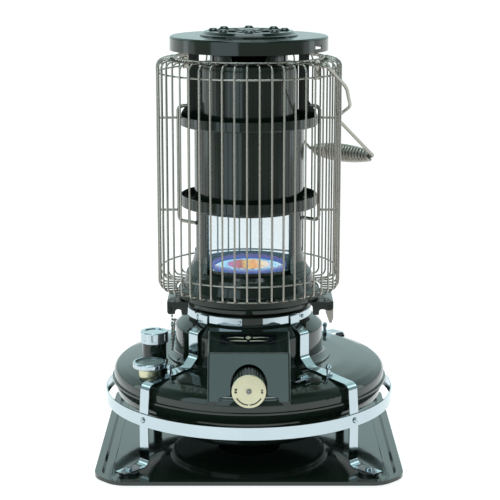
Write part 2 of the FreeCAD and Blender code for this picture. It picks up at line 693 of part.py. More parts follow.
def right_bracket():
    """Bracket with the pin on which the latch turns."""
    body = folded_bracket(110.9, 184.8)
    a = vec(LATCH_X, BRACKET_FRONT, LATCH_Z)
    pin = rod(a, a + vec(0, 4.2, 0), 1.6)
    head = dome_screw(a, vec(0, -1, 0), 2.8, 2.0)
    keeper = rod(a + vec(0, 3.4, 0), a + vec(0, 4.4, 0), 2.6)
    return fused([body, pin, head, keeper])


def latch_lever():
    """Leaf-shaped latch behind the right lug, turning on its pin."""
    x, z = LATCH_X, LATCH_Z
    outline = [(x - 4.6, z - 3), (x - 4.6, z + 4.4, 4), (x + 4.4, z + 4.4, 4), (x + 4.4, z - 15, 6),
               (x + 2.0, z - 22.2, 1), (x - 0.8, z - 21.0, 1), (x - 6.0, z - 6.0, 3)]
    body = closed_face(outline).extrude(vec(0, 1.4, 0))
    body.translate(vec(0, BRACKET_FRONT + 1.8, 0))
    a = vec(x, BRACKET_FRONT - 1, z)
    return body.cut(rod(a, a + vec(0, 8, 0), 1.6 + RUNNING))


def chain_top():
    return vec(-EAR_X, EAR_Y, EAR_Z)


def chain_mid():
    return vec(-EAR_X, EAR_Y, EAR_Z - CHAIN_DROP)


def chain_root():
    """Fixed end of the chain, on the side of the neck towards the rear."""
    return vec(-EAR_X, 38.0, 152.0)


def chain_run(start, end):
    """Eye around its pin, then beads on a thin link wire."""
    step = (end - start).normalize() * CHAIN_PITCH
    count = int((end - start).Length / CHAIN_PITCH)
    beads = [Part.makeSphere(CHAIN_BEAD / 2, start + step * k) for k in range(1, count)]
    eye = rod(start + vec(-1.2, 0, 0), start + vec(1.2, 0, 0), 2.1)
    beads.append(rod(start + step * 0.35, start + step * (count - 0.6), 0.5))
    bore = rod(start + vec(-5, 0, 0), start + vec(5, 0, 0), CHAIN_PIN + RUNNING)
    return fused(beads + [eye]).cut(bore)


def chain_anchor():
    """Stud on the neck with the pin through the chain's last eye."""
    root = chain_root()

    def along(x0, x1, radius):
        return rod(vec(x0, root.y, root.z), vec(x1, root.y, root.z), radius)

    body = fused([along(-85, -94, 4.0), along(-85, -EAR_X + 1.5, 1.6),
                  along(-90, -EAR_X - 2.4, CHAIN_PIN), along(-EAR_X - 1.5, -EAR_X - 2.5, 1.8)])
    return body.cut(Part.makeCylinder(NECK_R + 0.02, 60, vec(0, 0, 120)))


# ---------------------------------------------------------------- chimney
def chimney_base():
    line = [(70.2, WINDOW_LOW), (77.4, WINDOW_LOW, 1.5), (82.8, 231.5, 6), (88.2, 211.8, 2),
            (BASE_R, BASE_RIM, 1.5), (BASE_R, 198.6, 1.5), (88.6, 196.6, 1.5),
            (87.6, BASE_LOW, 1.5), (66.0, 191.5)]
    return shell_of(line, -THIN)


def window_frame():
    """Band with front and back windows, a small window each side, and a flared foot."""
    wall = tube(BARREL_R, BARREL_R - SHEET, WINDOW_LOW, WINDOW_HIGH)
    opening = block(-WINDOW_HALF, WINDOW_HALF, -90, 90, WINDOW_LOW + 5, WINDOW_HIGH - 5)
    side = block(-90, 90, -SIDE_WINDOW, SIDE_WINDOW, 259.0, WINDOW_HIGH - 5)
    wall = wall.cut(opening).cut(side)
    foot = shell_of([(78.6, WINDOW_LOW + 0.2), (75.8, 241.5, 5), (73.2, 248.0, 8), (71.9, 257.0)],
                    THIN)
    foot = foot.cut(block(-WINDOW_HALF, WINDOW_HALF, -120, 120, 200, 300))
    return fused([wall, foot])


def mica_window():
    return tube(70.1, 69.6, WINDOW_LOW + 0.5, WINDOW_HIGH)


def flange(low, rim, inner):
    return shell_of([(inner, low), (FLANGE_R, low, 2), (FLANGE_R, low + rim)], THIN)


def chimney_barrel():
    return tube(71.5, 70.5, LOWER_FLANGE + THIN, UPPER_FLANGE)


def upper_barrel():
    body = shell_of([(UPPER_R, UPPER_FLANGE + THIN), (UPPER_R, UPPER_TOP, 2),
                     (SKIRT_R - 1, UPPER_TOP)], THIN)
    return body


def inner_chimney():
    body = tube(56.0, 55.2, LOWER_FLANGE + THIN, 498)
    hole = rod(vec(50, 0, 0), vec(60, 0, 0), 3.0)
    holes = []
    for row in range(3):
        for k in range(12):
            one = at_azimuth(hole, 30 * k + 15 * row)
            one.translate(vec(0, 0, 335 + 22 * row))
            holes.append(one)
    return body.cut(Part.makeCompound(holes))


def support_posts():
    """Flat bars from the upper flange to the top plate, one each side."""
    outline = [(64.5, UPPER_FLANGE + THIN), (88.0, UPPER_FLANGE + THIN), (88.0, 441.0),
               (78.0, 456.0, 4), (78.0, PLATE_TOP - SHEET), (64.5, PLATE_TOP - SHEET)]
    bar = closed_face(outline).extrude(vec(0, 2.0, 0))
    bar.translate(vec(0, -1.0, 0))
    return [bar, bar.mirror(vec(0, 0, 0), vec(1, 0, 0))]


def top_skirt():
    """Ring between the barrel's lip and the top plate, with three flue openings."""
    ring = tube(SKIRT_R, SKIRT_R - 1.0, UPPER_TOP, PLATE_TOP - SHEET)
    mouth = closed_face([(-21, UPPER_TOP + 2.5), (21, UPPER_TOP + 2.5), (27, 535), (-27, 535)])
    mouth = mouth.extrude(vec(0, -60, 0))
    mouths = [at_azimuth(mouth, 90 + 120 * k) for k in range(3)]
    return ring.cut(Part.makeCompound(mouths))


def top_plate():
    line = [(0.0, PLATE_TOP), (PLATE_R, PLATE_TOP, 3), (PLATE_R, PLATE_LOW)]
    body = turned(section(line, -SHEET))
    slot = block(95, 110, -8, 8, 527, 532)
    slots = [at_azimuth(slot, 59), at_azimuth(slot, -121)]
    return body.cut(Part.makeCompound(slots))


def top_rosette():
    """Cast trivet: stepped rim, pierced crown and eight bosses round a hub."""
    crown = turned(closed_face([(0, PLATE_TOP), (ROSETTE_R, PLATE_TOP), (ROSETTE_R, 542.2, 0.8),
                                (60.5, 543.0, 1), (57.0, 546.6, 1.5), (50.0, 547.0, 2),
                                (46.0, 545.6, 2), (0, 545.6)]))
    pierced = []
    for k in range(8):
        pierced.append(Part.makeCylinder(5.0, 8, polar(25, 45 * k, PLATE_TOP + 1.5)))
        pierced.append(Part.makeCylinder(3.2, 8, polar(38, 45 * k + 22.5, PLATE_TOP + 1.5)))
    parts = [crown.cut(Part.makeCompound(pierced))]
    boss = turned(closed_face([(0, 542), (6.4, 542), (6.4, 547.6, 0.8), (4.0, TOTAL_H, 1.6),
                               (0, TOTAL_H)]))
    for k in range(8):
        one = boss.copy()
        one.translate(polar(46, 45 * k))
        parts.append(one)
        rib = block(8, 45, -1.8, 1.8, 543, 547.2)
        parts.append(at_azimuth(rib, 45 * k + 22.5))
    parts.append(turned(closed_face([(0, 542), (13, 542), (13, 547.5, 1), (8, 549.0, 1), (0, 549.0)])))
    return fused(parts)


# ---------------------------------------------------------------- cage, frames and handle
def cage_wires():
    radius = CAGE_WIRE / 2
    corners = [(vec(97.0, 0, CAGE_TOP), 0), (vec(CAGE_R, 0, CAGE_TOP), 10),
               (vec(CAGE_R, 0, CAGE_LOW), 8), (vec(95.5, 0, CAGE_LOW), 0)]
    wire = swept(corners, radius)
    step = 360 / CAGE_COUNT
    return Part.makeCompound([at_azimuth(wire, CAGE_PHASE + step * k) for k in range(CAGE_COUNT)])


def ring_wire(radius, z):
    return Part.makeTorus(radius, CAGE_WIRE / 2, vec(0, 0, z))


def cage_rings():
    """Hoops inside the upright wires, end hoops and the stays to the frames."""
    inside = CAGE_R - CAGE_WIRE
    rings = [ring_wire(inside, 234), ring_wire(inside, 494),
             ring_wire(97.5, CAGE_TOP + CAGE_WIRE), ring_wire(97.0, CAGE_LOW - CAGE_WIRE)]
    for side in (-1, 1):
        for z in (312.0, 434.0):
            start = vec(side * (FRAME_X + FRAME_WIRE / 2), 0, z)
            rings.append(rod(start, vec(side * (CAGE_R - 1.6), 0, z), 1.6))
    return Part.makeCompound(rings)


def u_frames():
    """Side frames; the lower end turns aside to the post beside the side window."""
    posts = support_posts()
    turn = math.asin((SIDE_WINDOW + 1.5) / BARREL_R)
    foot = vec(BARREL_R * math.cos(turn), BARREL_R * math.sin(turn), FRAME_LOW)
    corners = [(foot, 0), (vec(FRAME_X, 0, FRAME_LOW), 7), (vec(FRAME_X, 0, FRAME_HIGH), 7),
               (vec(79.0, 0, FRAME_HIGH), 0)]
    frame = swept(corners, FRAME_WIRE / 2).cut(posts[0])
    clear = Part.makeCylinder(BARREL_R + 0.02, 20, vec(0, 0, FRAME_LOW - 10))
    frame = frame.cut(clear)
    return Part.makeCompound([at_azimuth(frame, 90), at_azimuth(frame, -90)])


def flange_clips():
    """Small folded clips with screw heads inside the lower flange."""
    clips = []
    for azimuth in (-62, -38, -25, 25, 42, 62, 118, -118):
        foot = block(74, 84, -3, 3, LOWER_FLANGE + THIN, LOWER_FLANGE + THIN + 1.2)
        wall = block(73, 74.2, -3, 3, LOWER_FLANGE + THIN, 330)
        head = dome_screw(vec(79.5, 0, LOWER_FLANGE + THIN + 1.2), Z_AXIS, 2.6, 2.2)
        clips.append(at_azimuth(fused([foot, wall, head]), azimuth))
    return Part.makeCompound(clips)


def handle_eyes():
    eyes = []
    for azimuth in (BAIL_AZ, BAIL_AZ + 180):
        plate = block(113.6, 115.8, -4.5, 4.5, 491, 516)
        plate = plate.makeFillet(4.0, [e for e in plate.Edges if eye_corner(e)])
        plate = plate.cut(rod(vec(110, 0, BAIL_Z), vec(120, 0, BAIL_Z), BAIL_WIRE / 2 + RUNNING))
        eyes.append(at_azimuth(plate, azimuth))
    return Part.makeCompound(eyes)


def eye_corner(edge):
    ends = [v.Point for v in edge.Vertexes]
    return min(p.z for p in ends) > 515 and abs(ends[0].x - ends[1].x) > 1


def bail_point(across, reach):
    """Point in the handle's plane: across along the pivot line, reach towards the grip."""
    hang = math.radians(BAIL_HANG)
    along = polar(1, BAIL_AZ)
    out = polar(1, BAIL_AZ + 90)
    direction = vec(out.x * math.cos(hang), out.y * math.cos(hang), -math.sin(hang))
    return vec(0, 0, BAIL_Z) + along * across + direction * reach


def bail_wire():
    """Bail: pivot ends, swept-out legs, waist, and the bar through the grip."""
    half = [(110.5, 0, 0), (BAIL_HALF, 0, 5), (BAIL_HALF, 52, 45), (104, 101, 40), (57, 137, 24),
            (56.5, BAIL_REACH - 12, 5), (57.5, BAIL_REACH, 6)]
    corners = [(bail_point(s, t), r) for s, t, r in half]
    corners += [(bail_point(-s, t), r) for s, t, r in half[::-1]]
    wire = swept(corners, BAIL_WIRE / 2)
    ends = [rod(bail_point(s * 109.5, 0), bail_point(s * 112.5, 0), 3.6) for s in (-1, 1)]
    return fused([wire] + ends)


def grip_coil():
    """Barrel-shaped coil grip, as a ribbed sleeve around the bail."""
    pitch, rib = 4.9, 2.1
    count = int(2 * GRIP_HALF / pitch)
    start = -pitch * (count - 1) / 2

    def swell(along):
        return 4.6 + (GRIP_R - rib - 4.6) * math.cos(math.pi / 2 * along / (GRIP_HALF + 2)) ** 0.8

    edges = []
    last = vec(swell(start - pitch / 2) - 0.4, 0, start - pitch / 2)
    first = last
    for k in range(count):
        along = start + pitch * k
        top = vec(swell(along) + rib, 0, along)
        end = vec(swell(along + pitch / 2), 0, along + pitch / 2)
        if k == count - 1:
            end.x -= 0.4
        edges.append(Part.Arc(last, top, end).toShape())
        last = end
    inner = [vec(max(2.9, swell(start + pitch * k) - rib), 0, start + pitch * k)
             for k in range(count - 1, -1, -1)]
    inner = [vec(2.9, 0, last.z)] + inner + [vec(2.9, 0, first.z)]
    for point in inner + [first]:
        if (point - last).Length > 1e-6:
            edges.append(Part.makeLine(last, point))
            last = point
    body = turned(Part.Face(Part.Wire(edges)))
    body.Placement = FreeCAD.Placement(bail_point(0, BAIL_REACH),
                                       FreeCAD.Rotation(Z_AXIS, polar(1, BAIL_AZ)))
    return body


# ---------------------------------------------------------------- the list of pieces
def all_parts():
    front = [leg_strap(STRAP_AZ), leg_strap(-STRAP_AZ)]
    rear = [leg_strap(180 - STRAP_AZ), leg_strap(STRAP_AZ - 180)]
    return {
        "drip_tray": drip_tray(), "tank_top_shell": tank_top_shell(),
        "tank_bottom_shell": tank_bottom_shell(), "guard_ring": guard_ring(),
        "front_leg_straps": Part.makeCompound(front), "rear_leg_straps": Part.makeCompound(rear),
        "case_screws": case_screws(), "strap_clamps": strap_clamps(),
        "neck_shell": neck_shell(), "neck_band": neck_band(), "control_box": control_box(),
        "badge_plate": badge_plate(), "box_bracket": box_bracket(),
        "burner_drum": burner_drum(), "shaft_bushing": shaft_bushing(),
        "outer_wick_tube": outer_wick_tube(), "inner_wick_tube": inner_wick_tube(),
        "burner_ring": burner_ring(), "flame_spreader": flame_spreader(),
        "wick": wick(), "wick_carrier": wick_carrier(), "knob_shaft": knob_shaft(),
        "knob_grip": knob_grip(), "knob_plate": knob_plate(), "knob_screw": knob_screw(),
        "filler_neck": filler_neck(), "filler_cap": filler_cap(), "gauge_base": gauge_base(),
        "gauge_bezel": gauge_bezel(), "gauge_dial": gauge_dial(), "gauge_lens": gauge_lens(),
        "gauge_pointer": gauge_pointer(), "float_arm": float_arm(),
        "hinge_bracket": hinge_bracket(), "hinge_pin": hinge_pin(), "hinge_leaf": hinge_leaf(),
        "left_bracket": left_bracket(), "right_bracket": right_bracket(),
        "latch_lever": latch_lever(), "chain_anchor": chain_anchor(),
        "chain_upper": chain_run(chain_top(), chain_mid()),
        "chain_lower": chain_run(chain_root(), chain_mid()),
        "chimney_base": chimney_base(), "window_frame": window_frame(),
        "mica_window": mica_window(), "lower_flange": flange(LOWER_FLANGE, LOWER_RIM, 57.0),
        "chimney_barrel": chimney_barrel(), "upper_flange": flange(UPPER_FLANGE, UPPER_RIM, 57.0),
        "upper_barrel": upper_barrel(), "inner_chimney": inner_chimney(),
        "plate_supports": Part.makeCompound(support_posts() + [top_skirt()]),
        "top_plate": top_plate(),
        "top_rosette": top_rosette(), "cage_wires": cage_wires(), "cage_rings": cage_rings(),
        "u_frames": u_frames(), "flange_clips": flange_clips(), "handle_eyes": handle_eyes(),
        "bail_wire": bail_wire(), "grip_coil": grip_coil(),
    }


def main():
    os.makedirs(PARTS, exist_ok=True)
    parts = all_parts()
    print("nodes", len(parts))
    for name, shape in parts.items():
        save(name, shape)


main()
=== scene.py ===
"""Looks of the round wick kerosene heater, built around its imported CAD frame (metres)."""
import json
import math

import bmesh
import bpy
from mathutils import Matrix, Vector


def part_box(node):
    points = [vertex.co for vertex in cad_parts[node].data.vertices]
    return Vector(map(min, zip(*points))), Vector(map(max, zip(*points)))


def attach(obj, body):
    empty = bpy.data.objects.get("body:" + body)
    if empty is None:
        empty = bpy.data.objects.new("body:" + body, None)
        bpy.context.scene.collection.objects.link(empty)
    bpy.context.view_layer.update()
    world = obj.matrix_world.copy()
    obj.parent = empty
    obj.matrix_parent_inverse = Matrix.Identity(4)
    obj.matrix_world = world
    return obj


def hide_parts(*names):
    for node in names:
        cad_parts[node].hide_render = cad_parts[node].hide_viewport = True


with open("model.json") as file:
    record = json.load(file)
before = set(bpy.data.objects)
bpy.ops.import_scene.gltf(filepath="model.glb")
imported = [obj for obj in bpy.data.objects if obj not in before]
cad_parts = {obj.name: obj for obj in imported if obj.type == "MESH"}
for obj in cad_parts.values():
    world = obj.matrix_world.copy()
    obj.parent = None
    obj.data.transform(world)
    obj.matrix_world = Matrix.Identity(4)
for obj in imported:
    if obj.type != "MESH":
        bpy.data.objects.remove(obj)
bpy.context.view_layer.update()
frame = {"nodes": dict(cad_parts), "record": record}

NODES = frame["nodes"]
MM = 0.001


# ------------------------------------------------------------------ node helpers
class Shader:
    """A material under construction: one Principled shader and helpers for its textures."""

    def __init__(self, name, **sockets):
        self.mat = bpy.data.materials.new(name)
        self.mat.use_nodes = True
        self.tree = self.mat.node_tree
        self.bsdf = self.tree.nodes["Principled BSDF"]
        self.coords = self.tree.nodes.new("ShaderNodeTexCoord")
        for key, value in sockets.items():
            self.bsdf.inputs[key.replace("_", " ")].default_value = value

    def node(self, kind, **props):
        node = self.tree.nodes.new(kind)
        for key, value in props.items():
            setattr(node, key, value)
        return node

    def link(self, a, b):
        self.tree.links.new(a, b)

    def mapped(self, scale=(1, 1, 1), location=(0, 0, 0)):
        mapping = self.node("ShaderNodeMapping")
        mapping.inputs["Scale"].default_value = scale
        mapping.inputs["Location"].default_value = location
        self.link(self.coords.outputs["Object"], mapping.inputs["Vector"])
        return mapping.outputs["Vector"]

    def noise(self, scale, detail=3.0, rough=0.5, vector=None):
        node = self.node("ShaderNodeTexNoise")
        node.inputs["Scale"].default_value = scale
        node.inputs["Detail"].default_value = detail
        node.inputs["Roughness"].default_value = rough
        self.link(vector or self.coords.outputs["Object"], node.inputs["Vector"])
        return node.outputs["Fac"]

    def ramp(self, fac, *stops):
        node = self.node("ShaderNodeValToRGB")
        band = node.color_ramp
        while len(band.elements) < len(stops):
            band.elements.new(0.5)
        for element, (place, color) in zip(band.elements, stops):
            element.position = place
            element.color = color if len(color) == 4 else (*color, 1)
        self.link(fac, node.inputs["Fac"])
        return node.outputs["Color"]

    def span(self, fac, low, high, start=0.0, end=1.0):
        node = self.node("ShaderNodeMapRange")
        for key, value in (("From Min", start), ("From Max", end), ("To Min", low), ("To Max", high)):
            node.inputs[key].default_value = value
        self.link(fac, node.inputs["Value"])
        return node.outputs["Result"]

    def maths(self, operation, a, b=0.0):
        node = self.node("ShaderNodeMath", operation=operation)
        for socket, value in zip(node.inputs, (a, b)):
            if isinstance(value, (int, float)):
                socket.default_value = value
            else:
                self.link(value, socket)
        return node.outputs[0]

    def mix(self, fac, a, b, mode="MIX"):
        node = self.node("ShaderNodeMix", data_type="RGBA", blend_type=mode)
        for socket, value in ((node.inputs[0], fac), (node.inputs[6], a), (node.inputs[7], b)):
            if isinstance(value, (int, float)):
                socket.default_value = value
            elif isinstance(value, tuple):
                socket.default_value = (*value, 1) if len(value) == 3 else value
            else:
                self.link(value, socket)
        return node.outputs[2]

    def axis(self, name):
        node = self.node("ShaderNodeSeparateXYZ")
        self.link(self.coords.outputs["Object"], node.inputs[0])
        return node.outputs[name]

    def around(self, x=0.0, y=0.0):
        """Distance from a vertical line, for rings and heat marks."""
        dx = self.maths("SUBTRACT", self.axis("X"), x)
        dy = self.maths("SUBTRACT", self.axis("Y"), y)
        total = self.maths("ADD", self.maths("MULTIPLY", dx, dx), self.maths("MULTIPLY", dy, dy))
        return self.maths("SQRT", total)

    def bump(self, height, strength, distance=0.0005, before=None):
        node = self.node("ShaderNodeBump")
        node.inputs["Strength"].default_value = strength
        node.inputs["Distance"].default_value = distance
        self.link(height, node.inputs["Height"])
        if before:
            self.link(before, node.inputs["Normal"])
        return node.outputs["Normal"]

    def put(self, **sockets):
        for key, value in sockets.items():
            self.link(value, self.bsdf.inputs[key.replace("_", " ")])
        return self.mat


# ------------------------------------------------------------------ materials
def enamel(name, color, rough=(0.05, 0.11), ior=1.5, peel=0.05):
    s = Shader(name, IOR=ior, Coat_Weight=0.25, Coat_Roughness=0.03)
    tone = s.mix(s.noise(9, 4, 0.6), tuple(c * 0.75 for c in color), tuple(c * 1.3 for c in color))
    speck = s.ramp(s.noise(1400, 2, 0.5), (0.70, (0, 0, 0)), (0.78, (1, 1, 1)))
    tone = s.mix(s.maths("MULTIPLY", speck, 0.06), tone, (0.10, 0.11, 0.10))
    sheen = s.span(s.noise(26, 5, 0.65), rough[0], rough[1], 0.3, 0.7)
    normal = s.bump(s.noise(170, 2, 0.5), peel, 0.0004)
    normal = s.bump(s.noise(16, 2, 0.5), peel * 0.8, 0.003, normal)
    return s.put(Base_Color=tone, Roughness=sheen, Normal=normal)


def plated(name, color, rough=(0.06, 0.16), wave=0.05, grain=900, metal=1.0):
    s = Shader(name, Metallic=metal)
    tone = s.mix(s.noise(22, 4, 0.6), tuple(c * 0.90 for c in color), color)
    tone = s.mix(s.span(s.noise(grain, 3, 0.7), 0.0, 0.10, 0.55, 0.8), tone, (0.22, 0.23, 0.23))
    sheen = s.span(s.noise(48, 5, 0.7), rough[0], rough[1], 0.3, 0.75)
    normal = s.bump(s.noise(30, 2, 0.5), wave, 0.002)
    normal = s.bump(s.noise(grain, 2, 0.6), wave * 0.6, 0.0001, normal)
    return s.put(Base_Color=tone, Roughness=sheen, Normal=normal)


def heated_steel():
    """Plain steel with straw and blue heat marks towards the flame."""
    s = Shader("burner_steel", Metallic=1.0)
    height = s.span(s.axis("Z"), 0, 1, 0.12, 0.26)
    height = s.maths("ADD", height, s.span(s.noise(40, 4), -0.12, 0.12))
    tone = s.ramp(height, (0.0, (0.36, 0.37, 0.37)), (0.45, (0.42, 0.36, 0.25)),
                  (0.7, (0.27, 0.18, 0.22)), (0.9, (0.14, 0.17, 0.28)))
    sheen = s.span(s.noise(60, 5, 0.7), 0.26, 0.46)
    normal = s.bump(s.noise(700, 3, 0.6), 0.12, 0.0002)
    return s.put(Base_Color=tone, Roughness=sheen, Normal=normal)


def brass(name, color, axis_point=None):
    s = Shader(name, Metallic=0.92)
    tone = s.mix(s.noise(60, 5, 0.65), tuple(c * 0.82 for c in color), color)
    tone = s.mix(s.span(s.noise(520, 3, 0.7), 0.0, 0.3, 0.5, 0.8), tone, tuple(c * 0.62 for c in color))
    sheen = s.span(s.noise(120, 4, 0.7), 0.30, 0.42)
    if axis_point:
        rings = s.node("ShaderNodeTexWave", wave_type="RINGS", rings_direction="Y")
        rings.inputs["Scale"].default_value = 900
        rings.inputs["Distortion"].default_value = 1.2
        s.link(s.mapped(location=tuple(-c for c in axis_point)), rings.inputs["Vector"])
        normal = s.bump(rings.outputs["Fac"], 0.10, 0.0001)
    else:
        normal = s.bump(s.noise(800, 3, 0.6), 0.10, 0.0001)
    return s.put(Base_Color=tone, Roughness=sheen, Normal=normal)


def woven_wick():
    s = Shader("wick_cloth", Roughness=0.95)
    weave = s.node("ShaderNodeTexWave", bands_direction="Z")
    weave.inputs["Scale"].default_value = 420
    weave.inputs["Distortion"].default_value = 2.0
    s.link(s.coords.outputs["Object"], weave.inputs["Vector"])
    char = s.maths("ADD", s.span(s.axis("Z"), 0, 1, 0.222, 0.231), s.span(s.noise(90, 4), -0.3, 0.3))
    tone = s.mix(weave.outputs["Fac"], (0.62, 0.59, 0.52), (0.80, 0.78, 0.70))
    tone = s.mix(s.ramp(char, (0.25, (0, 0, 0)), (0.8, (1, 1, 1))), tone, (0.025, 0.02, 0.018))
    return s.put(Base_Color=tone, Normal=s.bump(weave.outputs["Fac"], 0.5, 0.0004))


def clear(name, color, alpha, rough=0.03):
    s = Shader(name, Base_Color=(*color, 1), Alpha=alpha, IOR=1.5)
    sheen = s.span(s.noise(35, 4, 0.6), rough, rough + 0.05)
    return s.put(Roughness=sheen, Normal=s.bump(s.noise(24, 2, 0.5), 0.04, 0.002))


def speckled(name, color, rough, grain=600, bump=0.15):
    s = Shader(name)
    dark = tuple(c * 0.8 for c in color)
    light = tuple(min(1, c * 1.15) for c in color)
    tone = s.mix(s.noise(grain * 0.2, 5, 0.7), dark, light)
    sheen = s.span(s.noise(grain * 0.4, 4, 0.7), rough - 0.06, rough + 0.08)
    return s.put(Base_Color=tone, Roughness=sheen, Normal=s.bump(s.noise(grain, 3, 0.6), bump, 0.0002))


MATS = {
    "black_enamel": enamel("black_enamel", (0.0115, 0.0190, 0.0125)),
    "black_chimney": enamel("black_chimney", (0.0110, 0.0180, 0.0115), (0.08, 0.17), 1.42, 0.07),
    "chrome": plated("chrome", (0.56, 0.63, 0.67), (0.05, 0.14), 0.16),
    "steel_wire": plated("steel_wire", (0.45, 0.41, 0.36), (0.20, 0.32), 0.04, 700, 0.82),
    "pale_brass": brass("pale_brass", (0.80, 0.75, 0.52)),
    "burner_steel": heated_steel(),
    "gear_brass": brass("gear_brass", (0.62, 0.50, 0.26)),
    "wick_cloth": woven_wick(),
    "mica": clear("mica", (0.50, 0.78, 0.95), 0.10),
    "lens": clear("lens", (0.55, 0.62, 0.60), 0.30, 0.05),
    "dial": speckled("dial", (0.20, 0.25, 0.23), 0.4, 500, 0.05),
    "float_cork": speckled("float_cork", (0.50, 0.36, 0.21), 0.75, 420, 0.6),
    "signal_red": speckled("signal_red", (0.55, 0.05, 0.03), 0.35, 700, 0.05),
    "badge_black": enamel("badge_black", (0.003, 0.004, 0.006), (0.04, 0.08), 1.5, 0.02),
}
KNOB_AXIS = (0.0, -0.188, 0.1195)
MATS["knob_brass"] = brass("knob_brass", (0.86, 0.80, 0.56), KNOB_AXIS)
MATS["dark_mark"] = speckled("dark_mark", (0.035, 0.030, 0.018), 0.5, 900, 0.1)
MATS["ornament_gold"] = plated("ornament_gold", (0.90, 0.80, 0.60), (0.28, 0.38), 0.03, 1200, 0.25)
MATS["screw_steel"] = plated("screw_steel", (0.30, 0.30, 0.28), (0.20, 0.30), 0.08, 1200)

SPECIAL = {"knob_plate": "knob_brass", "knob_screw": "screw_steel"}
SLOT_OF = {p["node"]: p["material_slot"] for p in frame["record"]["subparts"]}
for node_name, node_obj in NODES.items():
    slot_name = SPECIAL.get(node_name, SLOT_OF[node_name])
    for place in node_obj.material_slots:
        place.material = MATS[slot_name]


# ------------------------------------------------------------------ mesh helpers
def polar(radius, azimuth, z):
    angle = math.radians(azimuth)
    return Vector((radius * math.sin(angle), -radius * math.cos(angle), z)) * MM


def make(name, verts, faces, material, body, smooth=True):
    mesh = bpy.data.meshes.new(name)
    mesh.from_pydata([tuple(v) for v in verts], [], faces)
    bm = bmesh.new()
    bm.from_mesh(mesh)
    bmesh.ops.remove_doubles(bm, verts=bm.verts, dist=1e-7)
    bmesh.ops.recalc_face_normals(bm, faces=bm.faces)
    bm.to_mesh(mesh)
    bm.free()
    for face in mesh.polygons:
        face.use_smooth = smooth
    obj = bpy.data.objects.new(name, mesh)
    bpy.context.collection.objects.link(obj)
    mesh.materials.append(MATS[material])
    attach(obj, body)
    return obj


def tube(points, radius, sides):
    """Skin of a round wire through points."""
    count = len(points)
    verts, faces = [], []
    tangent = (points[1] - points[0]).normalized()
    side = tangent.orthogonal().normalized()
    for i, point in enumerate(points):
        ahead = points[min(i + 1, count - 1)] - points[max(i - 1, 0)]
        turn = tangent.rotation_difference(ahead.normalized())
        side = (turn @ side).normalized()
        tangent = ahead.normalized()
        across = tangent.cross(side).normalized()
        for k in range(sides):
            a = 2 * math.pi * k / sides
            verts.append(point + (side * math.cos(a) + across * math.sin(a)) * radius)
    for i in range(count - 1):
        for k in range(sides):
            n = (k + 1) % sides
            faces.append((i * sides + k, i * sides + n, (i + 1) * sides + n, (i + 1) * sides + k))
    faces.append(tuple(range(sides)))
    faces.append(tuple((count - 1) * sides + k for k in range(sides)))
    return verts, faces


def joined(parts):
    verts, faces = [], []
    for more_verts, more_faces in parts:
        base = len(verts)
        verts += list(more_verts)
        faces += [tuple(base + i for i in face) for face in more_faces]
    return verts, faces


def prism(outline, place):
    """Thin plate: outline of (a, b), place(a, b, depth) gives the point, depth 0 or 1."""
    count = len(outline)
    verts = [place(a, b, 0) for a, b in outline] + [place(a, b, 1) for a, b in outline]
    faces = [tuple(range(count)), tuple(range(count, 2 * count))]
    faces += [(i, (i + 1) % count, count + (i + 1) % count, count + i) for i in range(count)]
    return verts, faces


# ------------------------------------------------------------------ handle grip
BAIL_AZ, BAIL_Z, BAIL_HANG, BAIL_REACH = 47.65, 510.0, 36.5, 241.0
GRIP_HALF, GRIP_R, GRIP_PITCH, GRIP_WIRE = 51.0, 13.0, 4.9, 2.15
GRIP_CORE, POINTS_PER_TURN = 4.5, 22


def grip_spring():
    """Barrel-shaped spring of round wire on the handle's bar."""
    hang = math.radians(BAIL_HANG)
    along = polar(1, BAIL_AZ, 0).normalized()
    out = polar(1, BAIL_AZ + 90, 0).normalized()
    reach = out * math.cos(hang) + Vector((0, 0, -math.sin(hang)))
    middle = Vector((0, 0, BAIL_Z)) * MM + reach * BAIL_REACH * MM
    up = along.cross(reach)
    turns = 2 * (GRIP_HALF - GRIP_WIRE) / GRIP_PITCH
    steps = int(turns * POINTS_PER_TURN)
    points = []
    for i in range(steps + 1):
        t = i / steps
        place = (t - 0.5) * 2 * (GRIP_HALF - GRIP_WIRE)
        swell = math.cos(math.pi / 2 * place / (GRIP_HALF + 2)) ** 0.8
        radius = GRIP_CORE + (GRIP_R - GRIP_WIRE - 4.6) * swell
        a = 2 * math.pi * turns * t
        points.append(middle + (along * place + (reach * math.cos(a) + up * math.sin(a)) * radius) * MM)
    verts, faces = tube(points, GRIP_WIRE * MM, 10)
    spring = make("grip_spring", verts, faces, "steel_wire", "handle")
    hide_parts("grip_coil")


# ------------------------------------------------------------------ knob and badge marks
PLATE_FRONT, INLAY_PROUD, INLAY_THICK = -0.1878, 0.12, 0.4
ARC_INNER, ARC_OUTER, TICK_R = 16.3, 17.9, 16.2
KNOB_ARCS = ((208, 267), (273, 330))
KNOB_TICKS = ((171, 3.0, 2.7), (183, 3.0, 2.7), (6, 2.2, 2.2), (356, 2.6, 2.4))
LOZENGE = ((-4.0, 2.4), (0, 6.2), (4.0, 2.4), (0, -1.4))
UPPER_LEAF = ((6, 1.0), (16, 2.6), (27, 2.2), (16, 3.8), (6, 3.4))
LOWER_LEAF = ((2, -3.4), (14, -3.0), (24, -4.4), (12, -4.8), (2, -5.2))
DIAL_START, DIAL_SWEEP, DIAL_TICKS = -90, 86, 9
LOW_SWEEP, LOW_INNER, LOW_OUTER = 16, 18.4, 19.6


